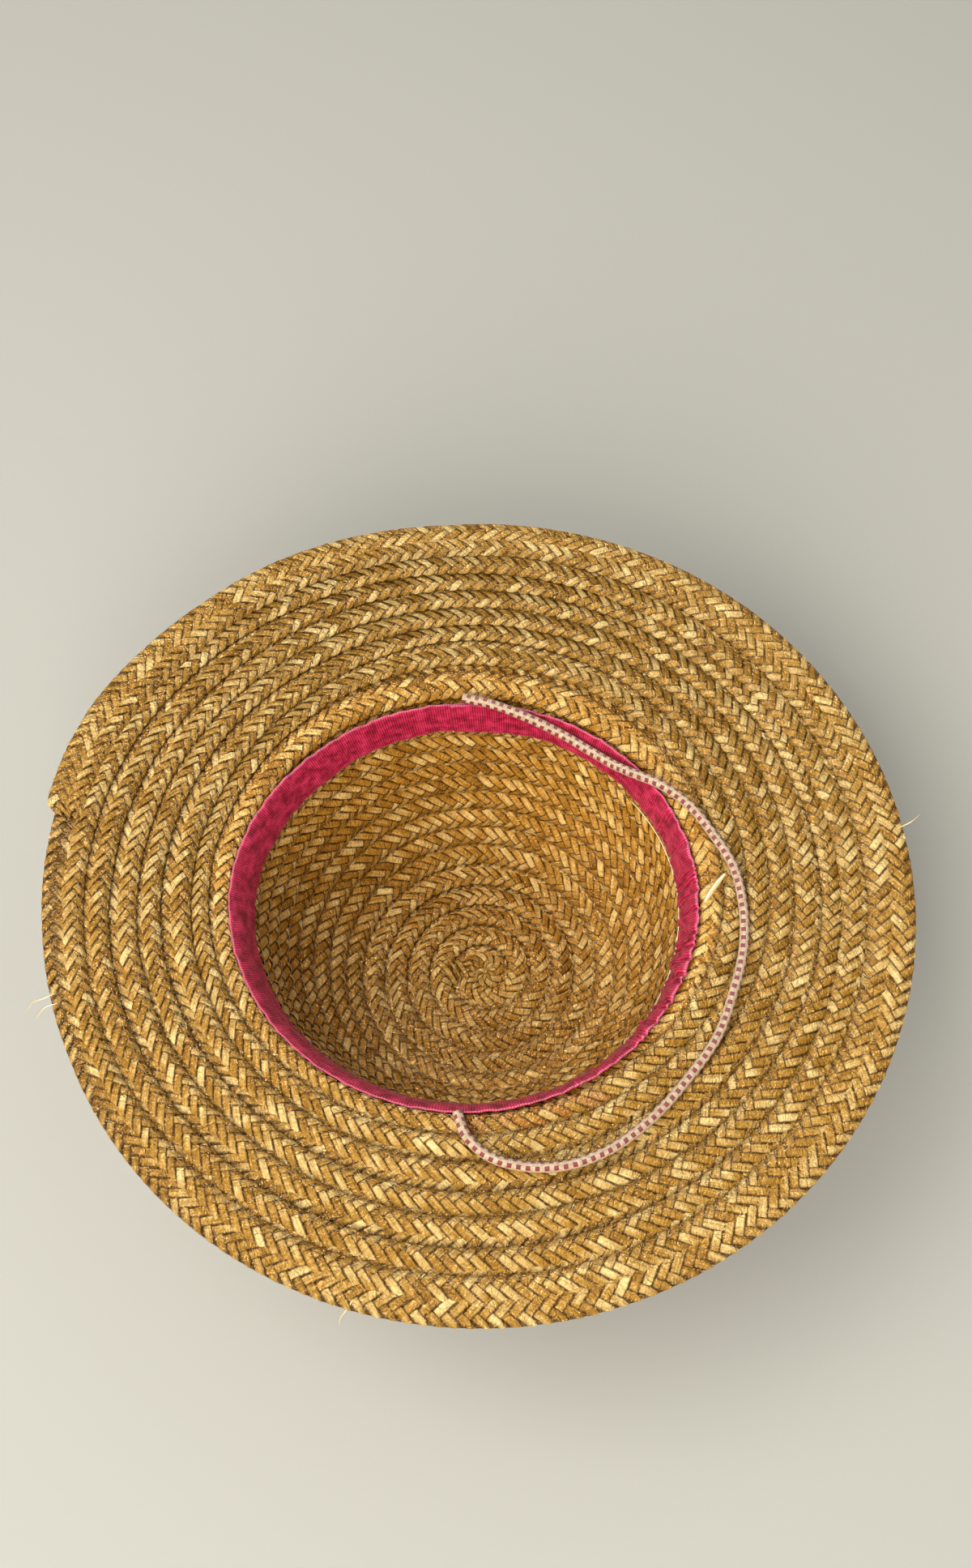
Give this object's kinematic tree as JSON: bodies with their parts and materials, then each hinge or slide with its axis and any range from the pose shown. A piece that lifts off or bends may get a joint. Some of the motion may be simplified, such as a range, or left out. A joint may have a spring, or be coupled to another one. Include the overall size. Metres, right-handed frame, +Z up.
{
  "type": "straw sun hat",
  "caption": "Wide-brimmed straw sun hat sewn from plaited braid, lying on its crown, with a ribbon sweatband and a round elastic chin cord.",
  "frame": {"origin": "on the surface that the hat lies on, under the middle of its brim; the hat lies upside down on the tip of its crown", "axes": "+Z up, out of the head opening; +X along the longer way of the head opening; +Y away from the side where the hat is seen"},
  "size_m": [0.3379, 0.3333, 0.1009],
  "materials": {
    "straw": "glossy split wheat straw",
    "ribbon": "ribbed grosgrain",
    "cord": "braided elastic"
  },
  "bodies": {
    "root": {"crown": "straw", "brim": "straw", "sweatband": "ribbon", "chin_cord": "cord"}
  },
  "joints": []
}
